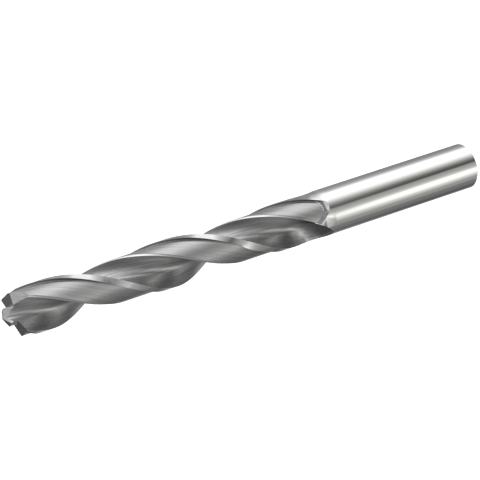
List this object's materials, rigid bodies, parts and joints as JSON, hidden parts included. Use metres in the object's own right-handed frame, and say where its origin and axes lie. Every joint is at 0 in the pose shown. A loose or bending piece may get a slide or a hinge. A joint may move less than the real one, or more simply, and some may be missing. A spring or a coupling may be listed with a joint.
{
  "type": "twist drill bit",
  "caption": "Straight-shank twist drill bit with helical flutes, polished margins and a stepped pilot point, for drilling metal or wood.",
  "frame": {"origin": "centre of the flat shank end, which the tool stands on", "axes": "+Z along the tool's axis from the shank end to the point; +X runs through the outer end of one cutting lip at the height of the outer corners"},
  "size_m": [0.013, 0.013, 0.151],
  "materials": {
    "ground_steel": "ground and polished"
  },
  "bodies": {
    "root": {"drill_bit": "ground_steel"}
  },
  "joints": []
}
